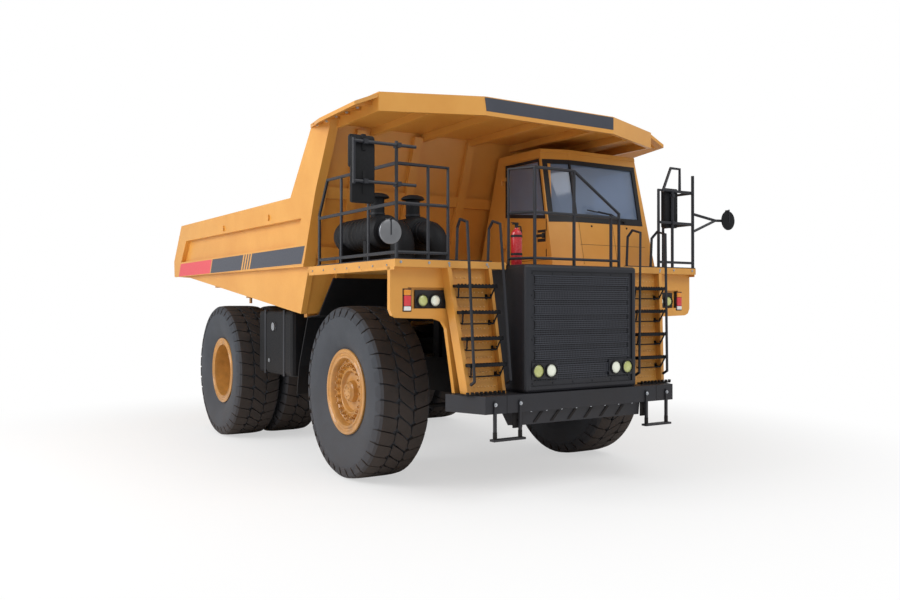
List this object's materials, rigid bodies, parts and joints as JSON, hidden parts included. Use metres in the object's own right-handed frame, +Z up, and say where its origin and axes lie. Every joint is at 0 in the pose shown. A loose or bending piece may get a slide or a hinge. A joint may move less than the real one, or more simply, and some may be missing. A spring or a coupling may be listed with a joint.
{
  "type": "mining dump truck",
  "caption": "Rigid two-axle mining dump truck with a tipping canopy bed, offset cab, deck with handrails, steered front wheels and twin rear wheels.",
  "frame": {"origin": "on the ground under the middle of the overall length, on the symmetry plane of the chassis", "axes": "+Z up, +Y towards the tail, so the truck faces -Y; +X towards its left (cab) side"},
  "size_m": [5.675, 9.301, 4.567],
  "materials": {
    "yellow_paint": "satin yellow paint",
    "dark_paint": "satin dark grey paint",
    "black_paint": "satin black paint",
    "rubber": "matt tread rubber",
    "steel": "machined",
    "glass": "tinted",
    "red_paint": "gloss red paint",
    "mirror": "convex mirror",
    "trim": "matt trim"
  },
  "bodies": {
    "chassis": {"main_frame": "black_paint", "front_bumper": "dark_paint", "radiator_housing": "dark_paint", "radiator_grille": "black_paint", "engine_and_gearbox": "steel", "deck": "yellow_paint", "fender_and_ladder_left": "yellow_paint", "fender_and_ladder_right": "yellow_paint", "front_mudguards": "black_paint", "hydraulic_tank": "black_paint", "fuel_tank": "black_paint", "rear_axle": "black_paint", "cab_shell": "yellow_paint", "windshield": "glass", "rear_window": "glass", "left_window": "glass", "operator_seat": "trim", "dashboard": "trim", "air_cleaners": "black_paint", "fire_extinguisher": "red_paint", "handrail_right": "dark_paint", "handrail_left": "dark_paint", "handrail_front": "dark_paint", "side_mirror_right": "black_paint", "side_mirror_left": "black_paint", "convex_mirror_right": "mirror", "convex_mirror_left": "mirror"},
    "dump_body": {"dump_bed": "yellow_paint", "bed_canopy": "yellow_paint", "bed_frame": "yellow_paint"},
    "cab_door": {"cab_door": "yellow_paint", "cab_door_glass": "glass"},
    "tie_rod": {"tie_rod": "black_paint"},
    "steering_knuckle_left": {"steering_knuckle_left": "black_paint"},
    "front_wheel_left": {"front_tyre_left": "rubber", "front_rim_left": "yellow_paint"},
    "rear_wheel_left": {"rear_outer_tyre_left": "rubber", "rear_inner_tyre_left": "rubber", "rear_rim_left": "yellow_paint"},
    "hoist_barrel_left": {"hoist_barrel_left": "yellow_paint"},
    "hoist_stage_left": {"hoist_stage_left": "steel"},
    "hoist_rod_left": {"hoist_rod_left": "steel"},
    "steering_knuckle_right": {"steering_knuckle_right": "black_paint"},
    "front_wheel_right": {"front_tyre_right": "rubber", "front_rim_right": "yellow_paint"},
    "rear_wheel_right": {"rear_outer_tyre_right": "rubber", "rear_inner_tyre_right": "rubber", "rear_rim_right": "yellow_paint"},
    "hoist_barrel_right": {"hoist_barrel_right": "yellow_paint"},
    "hoist_stage_right": {"hoist_stage_right": "steel"},
    "hoist_rod_right": {"hoist_rod_right": "steel"}
  },
  "joints": [
    {"name": "body_tilt", "type": "hinge", "parent": "chassis", "child": "dump_body", "pos_m": [0, 2.655, 1.73], "axis": [-1, 0, 0], "range_deg": [0, 50]},
    {"name": "door_swing", "type": "hinge", "parent": "chassis", "child": "cab_door", "pos_m": [0.48, -2.3, 2.9], "axis": [0, 0, -1], "range_deg": [0, 80]},
    {"name": "steer_left", "type": "hinge", "parent": "chassis", "child": "steering_knuckle_left", "pos_m": [1.2, -2.375, 1.075], "axis": [0, 0, 1], "range_deg": [-31, 31]},
    {"name": "spin_front_left", "type": "hinge", "parent": "steering_knuckle_left", "child": "front_wheel_left", "pos_m": [1.72, -2.375, 1.075], "axis": [1, 0, 0], "continuous": true},
    {"name": "spin_rear_left", "type": "hinge", "parent": "chassis", "child": "rear_wheel_left", "pos_m": [1.881, 1.995, 1.075], "axis": [1, 0, 0], "continuous": true},
    {"name": "hoist_swing_left", "type": "hinge", "parent": "chassis", "child": "hoist_barrel_left", "pos_m": [0.635, 0.8, 0.95], "axis": [-1, 0, 0], "range_deg": [0, 25.12]},
    {"name": "hoist_stage_slide_left", "type": "slide", "parent": "hoist_barrel_left", "child": "hoist_stage_left", "axis": [0, -0.083, 0.9965], "range_m": [0, 0.7532]},
    {"name": "hoist_rod_slide_left", "type": "slide", "parent": "hoist_stage_left", "child": "hoist_rod_left", "axis": [0, -0.083, 0.9965], "range_m": [0, 0.7532]},
    {"name": "steer_right", "type": "hinge", "parent": "chassis", "child": "steering_knuckle_right", "pos_m": [-1.2, -2.375, 1.075], "axis": [0, 0, 1], "range_deg": [-31, 31]},
    {"name": "spin_front_right", "type": "hinge", "parent": "steering_knuckle_right", "child": "front_wheel_right", "pos_m": [-1.72, -2.375, 1.075], "axis": [1, 0, 0], "continuous": true},
    {"name": "spin_rear_right", "type": "hinge", "parent": "chassis", "child": "rear_wheel_right", "pos_m": [-1.881, 1.995, 1.075], "axis": [1, 0, 0], "continuous": true},
    {"name": "hoist_swing_right", "type": "hinge", "parent": "chassis", "child": "hoist_barrel_right", "pos_m": [-0.635, 0.8, 0.95], "axis": [-1, 0, 0], "range_deg": [0, 25.12]},
    {"name": "hoist_stage_slide_right", "type": "slide", "parent": "hoist_barrel_right", "child": "hoist_stage_right", "axis": [0, -0.083, 0.9965], "range_m": [0, 0.7532]},
    {"name": "hoist_rod_slide_right", "type": "slide", "parent": "hoist_stage_right", "child": "hoist_rod_right", "axis": [0, -0.083, 0.9965], "range_m": [0, 0.7532]},
    {"name": "tie_rod_pivot", "type": "hinge", "parent": "steering_knuckle_left", "child": "tie_rod", "pos_m": [1.08, -1.895, 0.7995], "axis": [0, 0, 1], "range_deg": [-31, 31]}
  ],
  "couplings": [
    {"joint": "hoist_swing_left", "follows": "body_tilt", "ratio": 0.49243},
    {"joint": "hoist_stage_slide_left", "follows": "body_tilt", "m_per_rad": 0.86201},
    {"joint": "hoist_rod_slide_left", "follows": "body_tilt", "m_per_rad": 0.86201},
    {"joint": "hoist_swing_right", "follows": "body_tilt", "ratio": 0.49243},
    {"joint": "hoist_stage_slide_right", "follows": "body_tilt", "m_per_rad": 0.86201},
    {"joint": "hoist_rod_slide_right", "follows": "body_tilt", "m_per_rad": 0.86201},
    {"joint": "steer_right", "follows": "steer_left", "ratio": 1},
    {"joint": "tie_rod_pivot", "follows": "steer_left", "ratio": -1}
  ]
}
